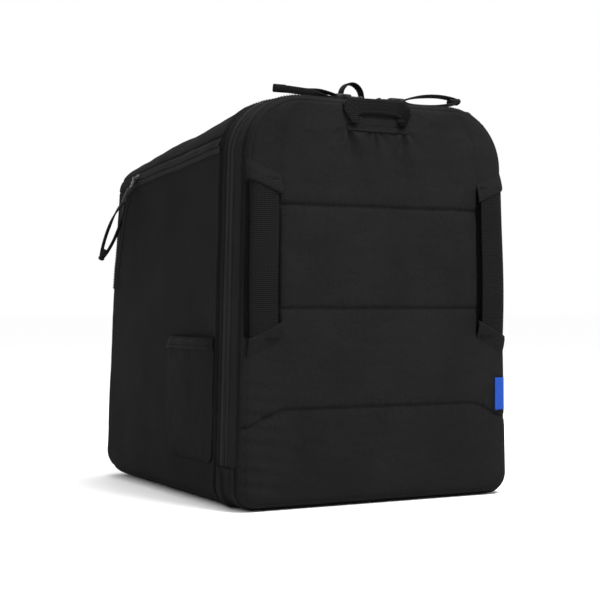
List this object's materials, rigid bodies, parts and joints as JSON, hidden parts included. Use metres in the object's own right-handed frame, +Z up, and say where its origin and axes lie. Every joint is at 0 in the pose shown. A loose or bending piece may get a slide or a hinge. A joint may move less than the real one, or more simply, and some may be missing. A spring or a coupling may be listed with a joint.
{
  "type": "ski boot bag",
  "caption": "Tall padded boot bag with a quilted front panel that zips open and folds down, side boot zips, webbing handles and a rear harness.",
  "frame": {"origin": "on the floor, at the middle of the bag's base between the panel's edge seam and the rear face", "axes": "-Y is the front (opening panel), +X is to the right when facing the panel, +Z is up"},
  "size_m": [0.4282, 0.4423, 0.4675],
  "materials": {
    "body_fabric": "matte",
    "panel_fabric": "matte",
    "lining_fabric": "matte",
    "pad_mesh": "matte",
    "foam": "matte",
    "stiffener": "matte",
    "webbing": "matte",
    "zip_tape": "matte",
    "zip_teeth": "satin",
    "slider_metal": "satin",
    "grip_rubber": "matte",
    "pull_webbing": "matte",
    "buckle_plastic": "satin",
    "tag_fabric": "matte"
  },
  "bodies": {
    "bag_body": {"base_panel": "body_fabric", "base_board": "stiffener", "side_panel_left": "body_fabric", "side_panel_right": "body_fabric", "rear_panel": "body_fabric", "top_panel": "body_fabric", "front_gusset": "body_fabric", "main_zip_tape_body": "zip_tape", "main_zip_teeth_body": "zip_teeth", "hinge_flap": "body_fabric", "pleat_left": "body_fabric", "pleat_right": "body_fabric", "zip_end_tab_left": "webbing", "zip_end_tab_right": "webbing", "boot_divider_left": "lining_fabric", "boot_divider_right": "lining_fabric", "stash_pocket_left": "body_fabric", "stash_pocket_right": "body_fabric", "side_zip_left": "zip_tape", "side_zip_right": "zip_tape", "back_pad": "pad_mesh", "shoulder_strap_left": "body_fabric", "shoulder_strap_right": "body_fabric", "strap_webbing_left": "webbing", "strap_webbing_right": "webbing", "ladder_lock_left": "buckle_plastic", "ladder_lock_right": "buckle_plastic", "strap_anchor_left": "body_fabric", "strap_anchor_right": "body_fabric"},
    "front_panel": {"front_panel_cover": "panel_fabric", "front_panel_foam": "foam", "front_panel_lining": "lining_fabric", "front_panel_rim": "panel_fabric", "main_zip_tape_panel": "zip_tape", "main_zip_teeth_panel": "zip_teeth", "grab_handle_left": "webbing", "grab_handle_right": "webbing", "handle_end_flaps": "panel_fabric", "side_tag": "tag_fabric", "top_handle_patch": "webbing"},
    "top_handle": {"top_handle": "webbing"},
    "haul_loop": {"haul_loop": "webbing"},
    "main_slider_left": {"main_slider_left": "slider_metal"},
    "main_pull_left": {"main_pull_tab_left": "slider_metal", "main_pull_grip_left": "grip_rubber", "main_pull_loop_left": "pull_webbing"},
    "main_slider_right": {"main_slider_right": "slider_metal"},
    "main_pull_right": {"main_pull_tab_right": "slider_metal", "main_pull_grip_right": "grip_rubber", "main_pull_loop_right": "pull_webbing"},
    "side_slider_left": {"side_slider_left": "slider_metal"},
    "side_pull_left": {"side_pull_tab_left": "slider_metal", "side_pull_grip_left": "grip_rubber", "side_pull_loop_left": "pull_webbing"},
    "side_slider_right": {"side_slider_right": "slider_metal"},
    "side_pull_right": {"side_pull_tab_right": "slider_metal", "side_pull_grip_right": "grip_rubber", "side_pull_loop_right": "pull_webbing"}
  },
  "joints": [
    {"name": "panel_hinge", "type": "hinge", "parent": "bag_body", "child": "front_panel", "pos_m": [0, -0.198, 0.01], "axis": [1, 0, 0], "range_deg": [0, 90]},
    {"name": "top_handle_fold", "type": "hinge", "parent": "front_panel", "child": "top_handle", "pos_m": [-0.006, -0.205, 0.4115], "axis": [1, 0, 0], "range_deg": [0, 150]},
    {"name": "haul_loop_fold", "type": "hinge", "parent": "bag_body", "child": "haul_loop", "pos_m": [0, -0.132, 0.444], "axis": [1, 0, 0], "range_deg": [-70, 70]},
    {"name": "main_slider_left_travel", "type": "slide", "parent": "bag_body", "child": "main_slider_left", "axis": [-1, 0, 0], "range_m": [-0.004, 0.085]},
    {"name": "main_slider_right_travel", "type": "slide", "parent": "bag_body", "child": "main_slider_right", "axis": [1, 0, 0], "range_m": [-0.004, 0.08]},
    {"name": "main_pull_left_swing", "type": "hinge", "parent": "main_slider_left", "child": "main_pull_left", "pos_m": [-0.005, -0.162, 0.4456], "axis": [0, 1, 0], "range_deg": [0, 90]},
    {"name": "main_pull_right_swing", "type": "hinge", "parent": "main_slider_right", "child": "main_pull_right", "pos_m": [0.0186, -0.162, 0.4456], "axis": [0, -1, 0], "range_deg": [0, 90]},
    {"name": "side_slider_left_travel", "type": "slide", "parent": "bag_body", "child": "side_slider_left", "axis": [0.0079, -0.9974, 0.0715], "range_m": [0, 0.225]},
    {"name": "side_slider_right_travel", "type": "slide", "parent": "bag_body", "child": "side_slider_right", "axis": [-0.0079, -0.9974, 0.0715], "range_m": [0, 0.225]},
    {"name": "side_pull_left_swing", "type": "hinge", "parent": "side_slider_left", "child": "side_pull_left", "pos_m": [-0.17211, 0.105, 0.37186], "axis": [0, 0.9974, -0.0715], "range_deg": [-12, 100]},
    {"name": "side_pull_right_swing", "type": "hinge", "parent": "side_slider_right", "child": "side_pull_right", "pos_m": [0.17211, 0.105, 0.37186], "axis": [0, -0.9974, 0.0715], "range_deg": [-12, 100]}
  ]
}
